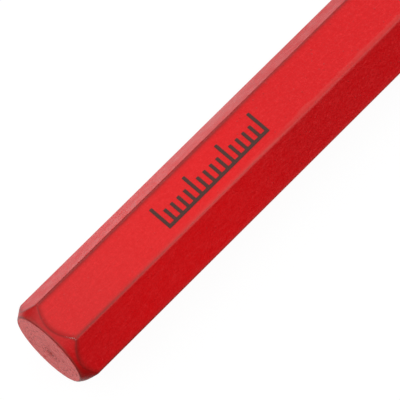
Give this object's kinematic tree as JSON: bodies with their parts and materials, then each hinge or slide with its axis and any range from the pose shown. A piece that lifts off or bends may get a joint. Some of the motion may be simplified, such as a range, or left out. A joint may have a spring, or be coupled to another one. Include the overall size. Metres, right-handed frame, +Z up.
{
  "type": "parallel pin punch",
  "caption": "Parallel pin punch: a red-lacquered hexagonal shank with a chamfered striking head, a bare conical shoulder and a long slim round pin.",
  "frame": {"origin": "on the surface that the tool lies on, under the middle of its length and width", "axes": "+X along the tool from the striking head to the pin's tip, +Z up, out of the flat that carries the printed mark, +Y across the shank towards one of its corners"},
  "size_m": [0.15, 0.0114, 0.01],
  "materials": {
    "bare_steel": "satin",
    "red_lacquer": "satin",
    "mark_ink": "matte"
  },
  "bodies": {
    "root": {"steel_body": "bare_steel", "lacquer_coat": "red_lacquer", "printed_mark": "mark_ink"}
  },
  "joints": []
}
